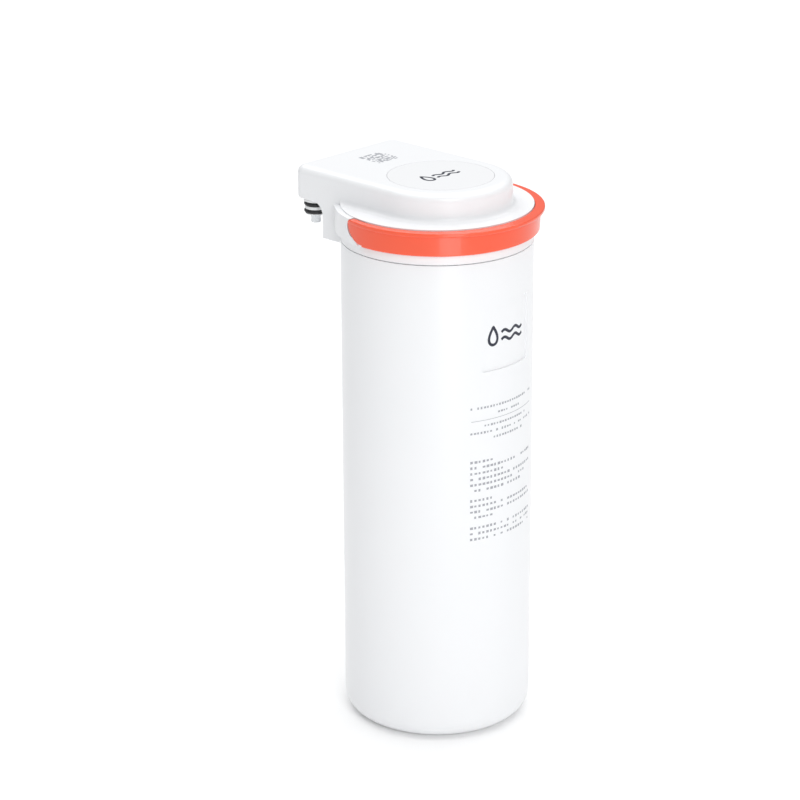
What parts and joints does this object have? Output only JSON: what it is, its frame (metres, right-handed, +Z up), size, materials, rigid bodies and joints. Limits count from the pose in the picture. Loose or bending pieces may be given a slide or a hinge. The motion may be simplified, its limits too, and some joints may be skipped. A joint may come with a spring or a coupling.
{
  "type": "water filter cartridge",
  "caption": "White plug-in water filter cartridge with a cantilever head, down-facing nozzles and an orange lift handle.",
  "frame": {"origin": "centre of the canister's flat base", "axes": "+Z up along the canister, -Y towards the label and the middle of the handle, +Y along the head's arm"},
  "size_m": [0.1082, 0.1239, 0.2983],
  "materials": {
    "white_plastic": "gloss",
    "orange_plastic": "satin gloss",
    "natural_plastic": "satin",
    "black_rubber": "satin",
    "steel": "drawn wire",
    "carbon": "sintered",
    "filter_cloth": "nonwoven",
    "netting": "satin"
  },
  "bodies": {
    "cartridge": {"canister": "white_plastic", "head_base": "white_plastic", "head_cover": "white_plastic", "badge_disc": "white_plastic", "inlet_duct": "natural_plastic", "outlet_duct": "natural_plastic", "pressure_lid": "natural_plastic", "lid_oring": "black_rubber", "top_end_cap": "natural_plastic", "bottom_end_cap": "natural_plastic", "upper_gasket": "black_rubber", "lower_gasket": "black_rubber", "core_tube": "netting", "carbon_block": "carbon", "pleated_wrap": "filter_cloth", "outer_netting": "netting", "stub_lower_oring": "black_rubber", "stub_upper_oring": "black_rubber", "element_cradle": "natural_plastic", "inlet_nozzle": "natural_plastic", "inlet_upper_oring": "black_rubber", "inlet_lower_oring": "black_rubber", "inlet_valve_spring": "steel", "inlet_spring_seat": "natural_plastic", "outlet_nozzle": "natural_plastic", "outlet_upper_oring": "black_rubber", "outlet_lower_oring": "black_rubber", "outlet_valve_spring": "steel", "outlet_spring_seat": "natural_plastic"},
    "handle": {"lift_handle": "orange_plastic"},
    "inlet_valve": {"inlet_plunger": "natural_plastic", "inlet_valve_seal": "black_rubber"},
    "outlet_valve": {"outlet_plunger": "natural_plastic", "outlet_valve_seal": "black_rubber"}
  },
  "joints": [
    {"name": "handle_lift", "type": "hinge", "parent": "cartridge", "child": "handle", "pos_m": [0, 0.0095, 0.279], "axis": [-1, 0, 0], "range_deg": [0, 70]},
    {"name": "inlet_valve_slide", "type": "slide", "parent": "cartridge", "child": "inlet_valve", "axis": [0, 0, 1], "range_m": [0, 0.003], "stiffness_N_per_m": 250, "springref_m": -0.002, "deforming": ["inlet_valve_spring"]},
    {"name": "outlet_valve_slide", "type": "slide", "parent": "cartridge", "child": "outlet_valve", "axis": [0, 0, 1], "range_m": [0, 0.003], "stiffness_N_per_m": 250, "springref_m": -0.002, "deforming": ["outlet_valve_spring"]}
  ]
}
